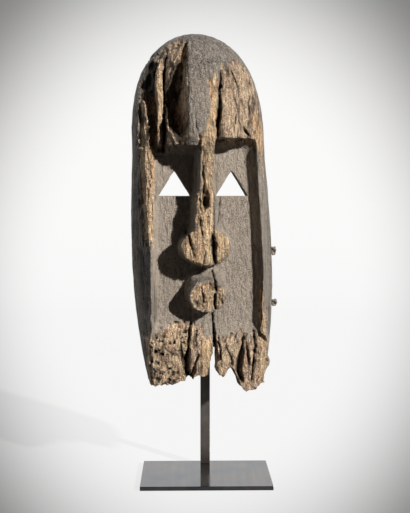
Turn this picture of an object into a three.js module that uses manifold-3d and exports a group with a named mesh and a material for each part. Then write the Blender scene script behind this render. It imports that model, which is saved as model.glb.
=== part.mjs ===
// A weathered hunter mask carved from half a log, hung on a steel display stand.
// Millimetres, +Z up, the front of the mask looks along -Y, x grows to the viewer's right.
// The origin is the middle of the underside of the stand's plate.

import * as THREE from 'three';
import { mergeVertices } from 'three/addons/utils/BufferGeometryUtils.js';
import Module from 'manifold-3d';

const wasm = await Module();
wasm.setup();

// Stand
const PLATE = { width: 160, depth: 120, thickness: 5 };
const BAR = 12;
const BAR_BACK_INSET = 4;
const BAR_BEND_RADIUS = 9;
const ARM_REACH = 62;
const TOUCH_GAP = 0.3;

// Where the mask hangs: its open back is the plane y = 0 of its own frame
const MASK_BACK_Y = 54;
const MASK_SHIFT_X = -8.5;
const MASK_TURN = THREE.MathUtils.degToRad(4.5);

// Outside of the log; heights are measured from the underside of the plate
const TOP_Z = 548;
const FOOT_Z = 90;
const SPRING_Z = 400;
const WIDEST_Z = 275;
const WIDEST_HALF = 86;
const SPRING_HALF = 81.3;
const LOW_Z = 117;
const LOW_HALF = 70;
const LEAN = 0.0335;
const LEAN_PIVOT_Z = 235;
const LOG_CENTRE_Y = -60;
const FRONT_REACH = 94;
const FRONT_REACH_LOW = 72;
const FRONT_REACH_FALL = 2.5;
const FRONT_SQUARENESS = 2;
const FRONT_SQUARENESS_LOW = 8;
const BACK_REACH = 120;
const BACK_SQUARENESS = 2.6;
const DOME_POWER = 2.9;

// Straight facets beside the rims, from the rim's corner back to the widest line
const CORNER_HALF = 67.5;
const CORNER_HALF_LOW = 74;
const CORNER_WIDENS_Z = 215;
const CORNER_WIDEST_Z = 160;
const CORNER_BROW_Y = -111;
const CORNER_LOW_Y = -121;
const FACET_BACK_Y = -74;
const FACET_FADE_Z = 452;
const FACET_FADE_OUT = 8;

// Hollow behind the face
const SIDE_WALL = 13;
const FACE_BACK_Y = -88;
const HOLLOW_ROOF_Z = 512;
const HOLLOW_SPRING_Z = 430;
const HOLLOW_ROOF_SHARE = 0.5;
const HOLLOW_SQUARENESS = 3.2;
const HOLLOW_BACK_SQUARENESS = 8;

// Sunk face between the rims
const FACE_Y = -103;
const BROW_RIGHT_Z = 416.5;
const BROW_LEFT_Z = 412.5;
const BROW_STEP_X = -14;
const BROW_FALL = 8.5;
const BROW_HOLLOWING = 12;
const FACE_TOP_HALF = 51.5;
const FACE_LOW_HALF = 58.5;
const RIM_DRAFT = 10 / 17;
const CHIN_TOP_Z = 200;
const CHIN_SLOPE = 28 / 21;
const CHIN_FRONT_Y = -124;

// Cutting solids reach well past the wood
const CUT_FRONT_Y = -170;
const BEYOND = 130;
const BELOW_FOOT_Z = FOOT_Z - 20;

// Face carving
const EYE = { width: 36, height: 29, sillZ: 352, leftX: -37.6, rightX: 30.2, ahead: 20, behind: 25 };
// Each station of the nose ridge is its height, half width and front, from the tip up to the brow
const NOSE = {
  x: -3.3,
  footSpread: 2.5,
  bevel: 2,
  stations: [
    [292.5, 14, -143.5], [335, 13.5, -143], [349, 13, -142], [357, 9.5, -141], [372, 8.8, -140.5],
    [384, 8.8, -142], [396, 9, -146], [408, 9.5, -151], [420.5, 10, -155],
  ],
};
const NOSE_TIP = {
  front: { x: -3.2, y: -145, z: 292.5, halfX: 27, halfZ: 19.5 },
  root: { x: -1, z: 291, halfX: 30, halfZ: 21.5 },
};
const MOUTH = {
  front: { x: -1.2, y: -138, z: 234.5, halfX: 22.5, halfZ: 19.5 },
  root: { x: -2.5, z: 241.5, halfX: 25.5, halfZ: 29 },
};
const BOSS_EDGE = 2;
const ROOT_Y = FACE_Y + 6;

const WOOD_MATERIAL = { color: 0x857463, roughness: 0.9, metalness: 0.0 };
const CORD_MATERIAL = { color: 0x8a7763, roughness: 0.95, metalness: 0.0 };
const STEEL_MATERIAL = { color: 0x46413d, roughness: 0.38, metalness: 0.85 };

// Turns a closed geometry into a solid, whichever way round its faces were listed
function solid(geometry) {
  const bare = geometry.clone();
  bare.deleteAttribute('normal');
  bare.deleteAttribute('uv');
  const merged = mergeVertices(bare, 1e-4);
  const place = merged.getAttribute('position');
  const corners = Uint32Array.from(merged.getIndex().array);
  const a = new THREE.Vector3();
  const b = new THREE.Vector3();
  const c = new THREE.Vector3();
  let volume = 0;
  for (let i = 0; i < corners.length; i += 3) {
    a.fromBufferAttribute(place, corners[i]);
    b.fromBufferAttribute(place, corners[i + 1]);
    c.fromBufferAttribute(place, corners[i + 2]);
    volume += a.dot(b.cross(c));
  }
  if (volume < 0) {
    for (let i = 0; i < corners.length; i += 3) {
      const swap = corners[i];
      corners[i] = corners[i + 1];
      corners[i + 1] = swap;
    }
  }
  const vertProperties = Float32Array.from(place.array);
  return new wasm.Manifold(new wasm.Mesh({ numProp: 3, vertProperties, triVerts: corners }));
}

function namedMesh(name, body, look) {
  const { numProp, vertProperties, triVerts } = body.getMesh();
  const places = new Float32Array((vertProperties.length / numProp) * 3);
  for (let i = 0; i < places.length / 3; i += 1) {
    for (let k = 0; k < 3; k += 1) {
      places[3 * i + k] = vertProperties[numProp * i + k];
    }
  }
  const geometry = new THREE.BufferGeometry();
  geometry.setAttribute('position', new THREE.BufferAttribute(places, 3));
  geometry.setIndex(new THREE.BufferAttribute(Uint32Array.from(triVerts), 1));
  geometry.computeVertexNormals();
  const mesh = new THREE.Mesh(geometry, new THREE.MeshStandardMaterial(look));
  mesh.name = name;
  return mesh;
}

// Skins a row of closed rings with equal numbers of points and caps both ends
function loft(rings) {
  const count = rings[0].length;
  const places = rings.flat().flatMap((p) => [p.x, p.y, p.z]);
  const faces = [];
  for (let r = 0; r + 1 < rings.length; r += 1) {
    for (let i = 0; i < count; i += 1) {
      const here = r * count + i;
      const next = r * count + ((i + 1) % count);
      faces.push(here, next, next + count, here, next + count, here + count);
    }
  }
  const last = (rings.length - 1) * count;
  const flatten = (ring) => {
    const spread = (axis) => Math.max(...ring.map((p) => p[axis])) - Math.min(...ring.map((p) => p[axis]));
    const level = spread('z') < spread('y');
    return ring.map((p) => new THREE.Vector2(p.x, level ? p.y : p.z));
  };
  const capFaces = (ring) => {
    const flat = flatten(ring);
    const turned = THREE.ShapeUtils.isClockWise(flat);
    const triangles = THREE.ShapeUtils.triangulateShape(flat, []);
    return triangles.map(([p, q, s]) => (turned ? [p, s, q] : [p, q, s]));
  };
  const firstCap = capFaces(rings[0]);
  const lastCap = capFaces(rings[rings.length - 1]);
  // A cap's triangles run against the walls' edges at the first ring and with them at the last
  const runsWithRing = (cap) => cap.some(([p, q, s]) => {
    const follows = (from, to) => (from + 1) % count === to;
    return follows(p, q) || follows(q, s) || follows(s, p);
  });
  const firstTurn = runsWithRing(firstCap);
  const lastTurn = runsWithRing(lastCap);
  firstCap.forEach(([p, q, s]) => faces.push(...(firstTurn ? [p, s, q] : [p, q, s])));
  lastCap.forEach(([p, q, s]) => {
    const turned = lastTurn ? [p, q, s] : [p, s, q];
    faces.push(...turned.map((k) => k + last));
  });
  const geometry = new THREE.BufferGeometry();
  geometry.setAttribute('position', new THREE.Float32BufferAttribute(places, 3));
  geometry.setIndex(faces);
  return geometry;
}

function box(x0, x1, y0, y1, z0, z1) {
  const geometry = new THREE.BoxGeometry(x1 - x0, y1 - y0, z1 - z0);
  geometry.translate((x0 + x1) / 2, (y0 + y1) / 2, (z0 + z1) / 2);
  return solid(geometry);
}

const mix = THREE.MathUtils.lerp;
const at = (x, y, z) => new THREE.Vector3(x, y, z);

// The log narrows towards the brow and, faster, towards the chin
function halfWidth(z) {
  const end = z > WIDEST_Z ? [SPRING_Z, SPRING_HALF] : [LOW_Z, LOW_HALF];
  const share = (z - WIDEST_Z) / (end[0] - WIDEST_Z);
  return WIDEST_HALF - (WIDEST_HALF - end[1]) * share * share;
}

const middleX = (z) => (LEAN_PIVOT_Z - z) * LEAN;

// From the brow down the front comes back, flatter and with squarer corners
const lowShare = (z) => THREE.MathUtils.clamp((SPRING_Z - z) / (SPRING_Z - LOW_Z), 0, 1);
const frontReach = (z) => mix(FRONT_REACH_LOW, FRONT_REACH, (1 - lowShare(z)) ** FRONT_REACH_FALL);

function frontPower(z) {
  return FRONT_SQUARENESS * (FRONT_SQUARENESS_LOW / FRONT_SQUARENESS) ** (lowShare(z) ** 2);
}

// One level outline of the log: an ellipse in front, squarer behind
function logRing(z, width, front, back, frontPower = 2, backPower = BACK_SQUARENESS) {
  const points = 56;
  const ring = [];
  for (let i = 0; i < points; i += 1) {
    const angle = (2 * Math.PI * i) / points;
    const side = Math.cos(angle);
    const depth = Math.sin(angle);
    const reach = depth < 0 ? front : back;
    const bend = 2 / (depth < 0 ? frontPower : backPower);
    const x = middleX(z) + width * Math.sign(side) * Math.abs(side) ** bend;
    ring.push(at(x, LOG_CENTRE_Y + reach * Math.sign(depth) * Math.abs(depth) ** bend, z));
  }
  return ring;
}

function logBody() {
  const rings = [];
  const straightRings = 18;
  for (let i = 0; i < straightRings; i += 1) {
    const z = mix(FOOT_Z, SPRING_Z, i / straightRings);
    rings.push(logRing(z, halfWidth(z), frontReach(z), BACK_REACH, frontPower(z)));
  }
  const domeRings = 12;
  const lastAngle = 0.475 * Math.PI;
  for (let i = 0; i <= domeRings; i += 1) {
    const rise = (lastAngle * i) / domeRings;
    const z = SPRING_Z + (TOP_Z - SPRING_Z) * Math.sin(rise) ** (2 / DOME_POWER);
    const share = Math.cos(rise);
    rings.push(logRing(z, SPRING_HALF * share, FRONT_REACH * share, BACK_REACH * share));
  }
  const behind = box(-BEYOND, BEYOND, 0, BEYOND, 0, TOP_Z + BEYOND);
  return solid(loft(rings)).subtract(behind).subtract(facing(-1)).subtract(facing(1));
}

function cornerHalf(z) {
  const rise = (z - CORNER_WIDEST_Z) / (CORNER_WIDENS_Z - CORNER_WIDEST_Z);
  return mix(CORNER_HALF_LOW, CORNER_HALF, THREE.MathUtils.clamp(rise, 0, 1));
}

// What an adze takes off one side of the log to leave a straight facet; it fades out above the brow
function facing(side) {
  const rings = [];
  const steps = 14;
  for (let i = 0; i <= steps; i += 1) {
    const z = mix(BELOW_FOOT_Z, FACET_FADE_Z, i / steps);
    const fade = THREE.MathUtils.clamp((z - SPRING_Z) / (FACET_FADE_Z - SPRING_Z), 0, 1);
    const out = FACET_FADE_OUT * fade;
    const back = at(halfWidth(Math.min(z, SPRING_Z)) + out, FACET_BACK_Y, z);
    const corner = at(cornerHalf(z) + out, mix(CORNER_BROW_Y, CORNER_LOW_Y, lowShare(z)), z);
    // As far ahead of the corner as the facet's back edge lies behind it
    const ahead = corner.clone().multiplyScalar(2).sub(back);
    const ring = [back, ahead, at(BEYOND, ahead.y, z), at(BEYOND, FACET_BACK_Y, z)];
    rings.push(ring.map((p) => at(middleX(z) + side * p.x, p.y, z)));
  }
  return solid(loft(rings));
}

function hollow() {
  const rings = [];
  const reach = LOG_CENTRE_Y - FACE_BACK_Y;
  const ringAt = (z, share) => {
    const width = (halfWidth(Math.min(z, SPRING_Z)) - SIDE_WALL) * share;
    return logRing(z, width, reach, BACK_REACH, HOLLOW_SQUARENESS, HOLLOW_BACK_SQUARENESS);
  };
  const wallRings = 8;
  for (let i = 0; i < wallRings; i += 1) {
    rings.push(ringAt(mix(BELOW_FOOT_Z, HOLLOW_SPRING_Z, i / wallRings), 1));
  }
  const vaultRings = 6;
  for (let i = 0; i <= vaultRings; i += 1) {
    const rise = (Math.PI / 2) * (i / vaultRings);
    const z = mix(HOLLOW_SPRING_Z, HOLLOW_ROOF_Z, Math.sin(rise));
    rings.push(ringAt(z, mix(HOLLOW_ROOF_SHARE, 1, Math.cos(rise))));
  }
  return solid(loft(rings));
}

// The sunk face: drafted flanks, a drafted brow and a chin that slopes forward to the rims
function recess() {
  const outline = (y) => {
    const out = FACE_Y - y;
    const lowZ = CHIN_TOP_Z - out * CHIN_SLOPE;
    const topHalf = FACE_TOP_HALF + out * RIM_DRAFT;
    const lowHalf = FACE_LOW_HALF + out * RIM_DRAFT;
    const fall = BROW_FALL * Math.max(0, 1 - out / BROW_HOLLOWING);
    return [
      at(middleX(CHIN_TOP_Z) - lowHalf, y, lowZ),
      at(middleX(CHIN_TOP_Z) + lowHalf, y, lowZ),
      at(middleX(BROW_RIGHT_Z) + topHalf, y, BROW_RIGHT_Z - fall),
      at(BROW_STEP_X, y, BROW_RIGHT_Z - fall),
      at(middleX(BROW_RIGHT_Z) - topHalf, y, BROW_LEFT_Z - fall),
    ];
  };
  const scoop = solid(loft([outline(CUT_FRONT_Y), outline(FACE_Y - BROW_HOLLOWING), outline(FACE_Y)]));
  const chinFacing = box(-BEYOND, BEYOND, CUT_FRONT_Y, CHIN_FRONT_Y, 0, CHIN_TOP_Z + 5);
  return scoop.add(chinFacing);
}

// A disc or cone that stands on the face, its front smaller than its root
function boss({ front, root }) {
  const sides = 28;
  const ringAt = (y, place) => {
    const ring = [];
    for (let i = 0; i < sides; i += 1) {
      const angle = (2 * Math.PI * i) / sides;
      ring.push(at(place.x + place.halfX * Math.cos(angle), y, place.z + place.halfZ * Math.sin(angle)));
    }
    return ring;
  };
  const between = (share) => ({
    x: mix(root.x, front.x, share),
    z: mix(root.z, front.z, share),
    halfX: mix(root.halfX, front.halfX, share),
    halfZ: mix(root.halfZ, front.halfZ, share),
  });
  const worn = { ...front, halfX: front.halfX - BOSS_EDGE, halfZ: front.halfZ - BOSS_EDGE };
  return solid(loft([
    ringAt(ROOT_Y, root),
    ringAt(FACE_Y, root),
    ringAt(mix(FACE_Y, front.y, 0.5), between(0.7)),
    ringAt(front.y + BOSS_EDGE, front),
    ringAt(front.y, worn),
  ]));
}

function noseRidge() {
  const ringAt = (z, half, front) => {
    const foot = half + NOSE.footSpread;
    const side = front + NOSE.bevel;
    const flat = half - NOSE.bevel;
    return [
      at(NOSE.x - foot, ROOT_Y, z),
      at(NOSE.x - foot, FACE_Y, z),
      at(NOSE.x - half, side, z),
      at(NOSE.x - flat, front, z),
      at(NOSE.x + flat, front, z),
      at(NOSE.x + half, side, z),
      at(NOSE.x + foot, FACE_Y, z),
      at(NOSE.x + foot, ROOT_Y, z),
    ];
  };
  return solid(loft(NOSE.stations.map(([z, half, front]) => ringAt(z, half, front))));
}

function eyeHole(x) {
  const triangle = (y) => [
    at(x - EYE.width / 2, y, EYE.sillZ),
    at(x + EYE.width / 2, y, EYE.sillZ),
    at(x, y, EYE.sillZ + EYE.height),
  ];
  return solid(loft([triangle(FACE_Y - EYE.ahead), triangle(FACE_BACK_Y + EYE.behind)]));
}

// A split or gouge seen from the front, as an outline at the skin and a smaller one at its floor
function gouge(skin, floor, skinY, floorY) {
  const ringAt = (outline, y) => outline.map(([x, z]) => at(x, y, z));
  return solid(loft([ringAt(skin, skinY), ringAt(floor, floorY)]));
}

// A sliver along the grain: a line of stations, each x, z and half width
function split(stations, skinY, floorY, floorShare = 0.3) {
  const side = (sign, share) => stations.map(([x, z, half]) => [x + sign * half * share, z]);
  const outline = (share) => [...side(-1, share), ...side(1, share).reverse()];
  return gouge(outline(1), outline(floorShare), skinY, floorY);
}

function foreheadDamage() {
  const deepCavity = gouge(
    [[-24, 533], [-24.5, 468], [-24.5, 424], [-33, 420], [-48.5, 420], [-49, 472], [-43.5, 492], [-33, 516]],
    [[-32, 508], [-33.5, 468], [-33, 440], [-36, 436], [-46, 436], [-46.5, 470], [-41, 488], [-36, 500]],
    -152, -120,
  );
  const leftHollow = gouge(
    [[-62, 512], [-58.5, 470], [-60, 420], [-68.5, 420], [-69.5, 454], [-77, 464], [-77, 480], [-71, 503]],
    [[-64, 500], [-62, 470], [-62.5, 428], [-66, 428], [-67, 456], [-72, 468], [-72, 478], [-68, 492]],
    -140, -98,
  );
  const narrowSplit = split(
    [[-47, 512, 1.2], [-49.5, 495, 2.2], [-50.2, 462, 1.6], [-50.6, 430, 2], [-51, 404, 2.2]],
    -150, -112,
  );
  const rightSplit = split(
    [[12.5, 492, 0.8], [11.5, 470, 1.8], [10.5, 445, 2.4], [8.5, 424, 1.8], [8, 404, 1.4]],
    -158, -128,
  );
  return deepCavity.add(leftHollow).add(narrowSplit).add(rightSplit);
}

function faceSplits() {
  const ridgeSplit = split(
    [[-3.5, 378, 1], [-4.5, 360, 2], [-3, 342, 2.4], [-1.5, 335, 0.8]],
    -150, -124,
  );
  const longSplit = split(
    [[4, 316, 2], [6, 296, 2.6], [7, 262, 1.2], [7.5, 235, 2.4], [8, 205, 1.6], [9, 166, 2.6]],
    -150, FACE_Y + 5, 0.5,
  );
  const chinSplit = split(
    [[-18, 200, 1.4], [-21.5, 182, 3], [-24.5, 158, 4], [-22, 124, 3]],
    -150, FACE_Y - 6,
  );
  const chinSideSplit = split(
    [[-12, 160, 1.2], [-16, 148, 2.6], [-21, 136, 3.6], [-22, 120, 2]],
    -150, FACE_Y - 8,
  );
  return ridgeSplit.add(longSplit).add(chinSplit).add(chinSideSplit);
}

// Everything below the broken edge, as seen from the front and again from the side
function lostFoot() {
  const down = FOOT_Z / 2;
  const edge = [
    [-110, 124], [-78, 121], [-70, 126], [-60, 125], [-50, 128], [-40, 127], [-31, 131], [-23.5, 132.5],
    [-16, 135], [-5, 135], [1, 141], [3.5, 149], [6, 163], [9, 175], [11.5, 162], [10.5, 147], [13, 138],
    [19, 135], [23, 141], [27, 147], [30, 145], [33, 139], [37, 132], [40, 123], [44, 118.5], [48, 117],
    [54, 119.5], [59, 121.5], [66, 127], [74, 126], [110, 128],
  ];
  const outline = [...edge, [110, down], [-110, down]];
  const front = gouge(outline, outline, CUT_FRONT_Y, BEYOND);
  const sideEdge = [
    [-80, 118], [-68, 124], [-56, 121], [-44, 130], [-36, 127], [-24, 136], [-12, 133], [20, 139],
  ];
  const sideOutline = [...sideEdge, [20, down], [-80, down]];
  const ringAt = (x) => sideOutline.map(([y, z]) => at(x, y, z));
  const sides = solid(loftSideways(ringAt(-BEYOND), ringAt(BEYOND)));
  return front.add(sides);
}

// The same skin between two outlines that stand across x
function loftSideways(first, second) {
  const turn = (p) => at(p.y, p.x, p.z);
  const geometry = loft([first.map(turn), second.map(turn)]);
  geometry.applyMatrix4(new THREE.Matrix4().set(0, 1, 0, 0, 1, 0, 0, 0, 0, 0, 1, 0, 0, 0, 0, 1));
  return geometry;
}

// Knots of fibre cord in two lacing holes at the widest line on the right
const KNOTS = [
  { name: 'edge_knot_upper', y: -60, z: 284.5, wide: 3.4, deep: 4.8, tall: 6.6 },
  { name: 'edge_knot_lower', y: -60, z: 220, wide: 4, deep: 4.8, tall: 5.4 },
];
const CORD_RADIUS = 2.1;
const LACING_HOLE_RADIUS = 2.6;

function acrossX(radius, x0, x1, y, z) {
  const geometry = new THREE.CylinderGeometry(radius, radius, x1 - x0, 12);
  geometry.rotateZ(Math.PI / 2);
  geometry.translate((x0 + x1) / 2, y, z);
  return solid(geometry);
}

function outsideX(y, z) {
  const share = Math.abs(y - LOG_CENTRE_Y) / BACK_REACH;
  return middleX(z) + halfWidth(z) * (1 - share ** BACK_SQUARENESS) ** (1 / BACK_SQUARENESS);
}

function knotSolid(knot) {
  const skin = outsideX(knot.y, knot.z);
  const ball = new THREE.SphereGeometry(1, 14, 10);
  ball.scale(knot.wide, knot.deep, knot.tall);
  ball.translate(skin + knot.wide + TOUCH_GAP, knot.y, knot.z);
  const inside = skin - SIDE_WALL - 1;
  return solid(ball).add(acrossX(CORD_RADIUS, inside, skin + knot.wide, knot.y, knot.z));
}

function maskSolid() {
  const carved = [boss(NOSE_TIP), boss(MOUTH), noseRidge()];
  let body = logBody().subtract(recess());
  carved.forEach((form) => {
    body = body.add(form);
  });
  body = body.subtract(hollow());
  [EYE.leftX, EYE.rightX].forEach((x) => {
    body = body.subtract(eyeHole(x));
  });
  body = body.subtract(foreheadDamage()).subtract(faceSplits()).subtract(lostFoot());
  KNOTS.forEach((knot) => {
    const skin = outsideX(knot.y, knot.z);
    const hole = acrossX(LACING_HOLE_RADIUS, skin - 2 * SIDE_WALL, skin + SIDE_WALL, knot.y, knot.z);
    body = body.subtract(hole);
  });
  return body;
}

// Square bar: up from the plate behind the face, then a short arm forward under the roof
function postSolid() {
  const back = PLATE.depth / 2 - BAR_BACK_INSET;
  const top = HOLLOW_ROOF_Z - TOUCH_GAP;
  const side = new THREE.Shape();
  side.moveTo(back, PLATE.thickness + TOUCH_GAP);
  side.lineTo(back, top - BAR_BEND_RADIUS);
  side.absarc(back - BAR_BEND_RADIUS, top - BAR_BEND_RADIUS, BAR_BEND_RADIUS, 0, Math.PI / 2);
  side.lineTo(back - BAR - ARM_REACH, top);
  side.lineTo(back - BAR - ARM_REACH, top - BAR);
  side.lineTo(back - BAR, top - BAR);
  side.lineTo(back - BAR, PLATE.thickness + TOUCH_GAP);
  const geometry = new THREE.ExtrudeGeometry(side, { depth: BAR, bevelEnabled: false, curveSegments: 6 });
  geometry.translate(0, 0, -BAR / 2);
  geometry.rotateX(Math.PI / 2);
  geometry.rotateZ(Math.PI / 2);
  return solid(geometry);
}

function plateSolid() {
  const halfX = PLATE.width / 2;
  const halfY = PLATE.depth / 2;
  return box(-halfX, halfX, -halfY, halfY, 0, PLATE.thickness);
}

const stand = new THREE.Group();
stand.add(namedMesh('stand_plate', plateSolid(), STEEL_MATERIAL));
stand.add(namedMesh('stand_post', postSolid(), STEEL_MATERIAL));

const carving = new THREE.Group();
carving.position.set(MASK_SHIFT_X, MASK_BACK_Y, 0);
carving.rotation.z = MASK_TURN;
carving.add(namedMesh('mask', maskSolid(), WOOD_MATERIAL));
KNOTS.forEach((knot) => {
  carving.add(namedMesh(knot.name, knotSolid(knot), CORD_MATERIAL));
});

const group = new THREE.Group();
group.add(stand);
group.add(carving);

export default group;
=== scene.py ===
import math
import bmesh
import bpy
import numpy as np
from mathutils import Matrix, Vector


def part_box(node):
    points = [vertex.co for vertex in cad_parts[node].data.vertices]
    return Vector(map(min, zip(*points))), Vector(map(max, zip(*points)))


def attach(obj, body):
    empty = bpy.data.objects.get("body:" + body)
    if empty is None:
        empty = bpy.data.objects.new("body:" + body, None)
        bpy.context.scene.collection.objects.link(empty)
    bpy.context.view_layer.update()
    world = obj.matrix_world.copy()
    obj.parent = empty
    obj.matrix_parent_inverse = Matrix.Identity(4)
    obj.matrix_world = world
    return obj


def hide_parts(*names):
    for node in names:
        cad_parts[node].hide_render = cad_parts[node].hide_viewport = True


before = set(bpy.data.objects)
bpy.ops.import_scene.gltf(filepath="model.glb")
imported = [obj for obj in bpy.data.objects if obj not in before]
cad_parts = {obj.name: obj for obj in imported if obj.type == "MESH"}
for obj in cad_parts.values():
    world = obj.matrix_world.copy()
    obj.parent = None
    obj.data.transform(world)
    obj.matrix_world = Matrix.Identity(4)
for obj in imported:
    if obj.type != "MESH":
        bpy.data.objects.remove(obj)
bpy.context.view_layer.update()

scene = bpy.context.scene
MM = 0.001

# Studio
# A hard key from the upper right, a bright sweep behind and below, and little light from the front.
# The sweep and the world aren't part of the object.

CAMERA_PLACE = (-0.0237, -1.2373, 0.3456)
CAMERA_PITCH = math.radians(3.18)
CAMERA_YAW = math.radians(1.05)
GLOW_SHAPE = (1.0, 1.0, 0.81)
GLOW_AIM = (0.018, 0.998, -0.06)
LEFT_FILL_AIM = (-0.82, 0.57, 0.0)
# Middle of the pool of light painted on the floor under the mask, for the light it throws up
PAINTED_POOL_MIDDLE = (-0.03, -0.06, 0.0)

camera_data = bpy.data.cameras.new("camera")
camera_data.lens = 70.2
camera_data.sensor_width = 36.0
camera = bpy.data.objects.new("camera", camera_data)
camera.location = CAMERA_PLACE
camera.rotation_euler = (math.radians(90) - CAMERA_PITCH, 0, -CAMERA_YAW)
scene.collection.objects.link(camera)
scene.camera = camera

scene.view_settings.view_transform = "Standard"

KEY_AZIMUTH = math.radians(39.5)
KEY_ELEVATION = math.radians(23.4)
key_data = bpy.data.lights.new("key", "SUN")
key_data.energy = 5.2
key_data.angle = math.radians(2.5)
key_data.color = (1.0, 0.97, 0.92)
key = bpy.data.objects.new("key", key_data)
key.rotation_euler = (math.radians(90) - KEY_ELEVATION, 0, KEY_AZIMUTH)
scene.collection.objects.link(key)


def node(tree, kind, **settings):
    made = tree.nodes.new(kind)
    for name, value in settings.items():
        setattr(made, name, value)
    return made


def between(tree, value, low, high, to_low=0.0, to_high=1.0, curve="LINEAR"):
    """Stretches the part of a value between low and high to the range asked for."""
    made = node(tree, "ShaderNodeMapRange", interpolation_type=curve)
    made.inputs["From Min"].default_value = low
    made.inputs["From Max"].default_value = high
    made.inputs["To Min"].default_value = to_low
    made.inputs["To Max"].default_value = to_high
    tree.links.new(value, made.inputs["Value"])
    return made.outputs["Result"]


def towards(tree, direction, aim):
    """How nearly a direction points at the aim, 1 where it does."""
    made = node(tree, "ShaderNodeVectorMath", operation="DOT_PRODUCT")
    made.inputs[1].default_value = aim
    tree.links.new(direction, made.inputs[0])
    return made.outputs["Value"]


def studio_glow(tree, coordinates):
    """Brightness of the sweep: full in the middle of the studio, falling off towards the corners."""
    sight = node(tree, "ShaderNodeVectorMath", operation="SUBTRACT")
    sight.inputs[1].default_value = CAMERA_PLACE
    tree.links.new(coordinates, sight.inputs[0])
    flat = node(tree, "ShaderNodeVectorMath", operation="MULTIPLY")
    flat.inputs[1].default_value = GLOW_SHAPE
    tree.links.new(sight.outputs[0], flat.inputs[0])
    unit = node(tree, "ShaderNodeVectorMath", operation="NORMALIZE")
    tree.links.new(flat.outputs[0], unit.inputs[0])
    return between(tree, towards(tree, unit.outputs[0], GLOW_AIM), 0.955, 0.99, 0.12, 0.83, "SMOOTHSTEP")


def together(tree, first, second):
    made = node(tree, "ShaderNodeAddShader")
    tree.links.new(first.outputs[0], made.inputs[0])
    tree.links.new(second.outputs[0], made.inputs[1])
    return made


def seen_and_thrown(tree, seen, thrown):
    """One shader for what the camera sees, and another for the light that falls on the object."""
    rays = node(tree, "ShaderNodeLightPath")
    either = node(tree, "ShaderNodeMixShader")
    tree.links.new(rays.outputs["Is Camera Ray"], either.inputs[0])
    tree.links.new(thrown.outputs[0], either.inputs[1])
    tree.links.new(seen.outputs[0], either.inputs[2])
    return either.outputs[0]


world = bpy.data.worlds.new("studio")
world.use_nodes = True
tree = world.node_tree
tree.nodes.clear()
around = node(tree, "ShaderNodeTexCoord").outputs["Generated"]
axes = node(tree, "ShaderNodeSeparateXYZ")
tree.links.new(around, axes.inputs[0])
from_behind = between(tree, axes.outputs["Y"], 0.0, 0.9, 0.006, 0.6, "SMOOTHSTEP")
from_left = between(tree, towards(tree, around, LEFT_FILL_AIM), 0.25, 1.0, 0.0, 1.3, "SMOOTHSTEP")
strength = node(tree, "ShaderNodeMath", operation="ADD")
tree.links.new(from_behind, strength.inputs[0])
tree.links.new(from_left, strength.inputs[1])
thrown = node(tree, "ShaderNodeBackground")
tree.links.new(strength.outputs[0], thrown.inputs["Strength"])
seen = node(tree, "ShaderNodeBackground")
seen.inputs["Strength"].default_value = 0.75
shown = node(tree, "ShaderNodeOutputWorld")
tree.links.new(seen_and_thrown(tree, seen, thrown), shown.inputs["Surface"])
scene.world = world


def pick(piece, kind, test):
    """In edit mode, selects only the edges or the faces that pass a test."""
    bpy.ops.mesh.select_mode(type=kind)
    bpy.ops.mesh.select_all(action="DESELECT")
    shape = bmesh.from_edit_mesh(piece.data)
    shape.normal_update()
    for part in (shape.edges if kind == "EDGE" else shape.faces):
        part.select_set(test(part))
    bmesh.update_edit_mesh(piece.data)


SWEEP_BACK = 3.0
SWEEP_SIZE = 12.0
SWEEP_BEND = 1.2
SWEEP_TOP = 5.0
SWEEP_NEAR = 0.1
FLOOR = -0.2 * MM
bpy.ops.object.select_all(action="DESELECT")
bpy.ops.mesh.primitive_plane_add(size=SWEEP_SIZE, location=(0, SWEEP_BACK - SWEEP_SIZE / 2, FLOOR))
sweep = bpy.context.active_object
sweep.name = "sweep"
bpy.ops.object.transform_apply(location=True, rotation=False, scale=False)
bpy.ops.object.mode_set(mode="EDIT")
back = SWEEP_BACK - SWEEP_NEAR
pick(sweep, "EDGE", lambda edge: all(v.co.y > back for v in edge.verts))
bpy.ops.mesh.extrude_region_move(TRANSFORM_OT_translate={"value": (0, 0, SWEEP_TOP)})
pick(sweep, "EDGE", lambda edge: all(v.co.y > back and v.co.z < SWEEP_NEAR for v in edge.verts))
bpy.ops.mesh.bevel(offset=SWEEP_BEND, segments=24, affect="EDGES")
bpy.ops.object.mode_set(mode="OBJECT")
bpy.ops.object.shade_smooth()

paper = bpy.data.materials.new("sweep_paper")
paper.use_nodes = True
tree = paper.node_tree
tree.nodes.clear()
place = node(tree, "ShaderNodeTexCoord").outputs["Object"]
glow = node(tree, "ShaderNodeEmission")
tree.links.new(studio_glow(tree, place), glow.inputs["Strength"])
lit = node(tree, "ShaderNodeBsdfDiffuse")
lit.inputs["Color"].default_value = (0.09, 0.09, 0.09, 1)
axes = node(tree, "ShaderNodeSeparateXYZ")
tree.links.new(place, axes.inputs[0])
# For the light thrown on the object, the sweep glows more with height, and its floor is painted paler under
# the mask than beyond: a painted pool of light
spill = node(tree, "ShaderNodeEmission")
tree.links.new(between(tree, axes.outputs["Z"], 0.0, 0.5, 0.03, 0.8), spill.inputs["Strength"])
away = node(tree, "ShaderNodeVectorMath", operation="DISTANCE")
away.inputs[1].default_value = PAINTED_POOL_MIDDLE
tree.links.new(place, away.inputs[0])
dim = node(tree, "ShaderNodeBsdfDiffuse")
tree.links.new(between(tree, away.outputs["Value"], 0.12, 0.3, 0.2, 0.04, "SMOOTHSTEP"), dim.inputs["Color"])
shown = node(tree, "ShaderNodeOutputMaterial")
both = seen_and_thrown(tree, together(tree, glow, lit), together(tree, spill, dim))
tree.links.new(both, shown.inputs["Surface"])
sweep.data.materials.append(paper)

# Foot plate
# A flat plate of hot-rolled steel with sawn and softened edges, patinated dark and waxed.
# Made as a block at the plate's size, with its edges bevelled.

PLATE_EDGE = 0.5 * MM

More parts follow.
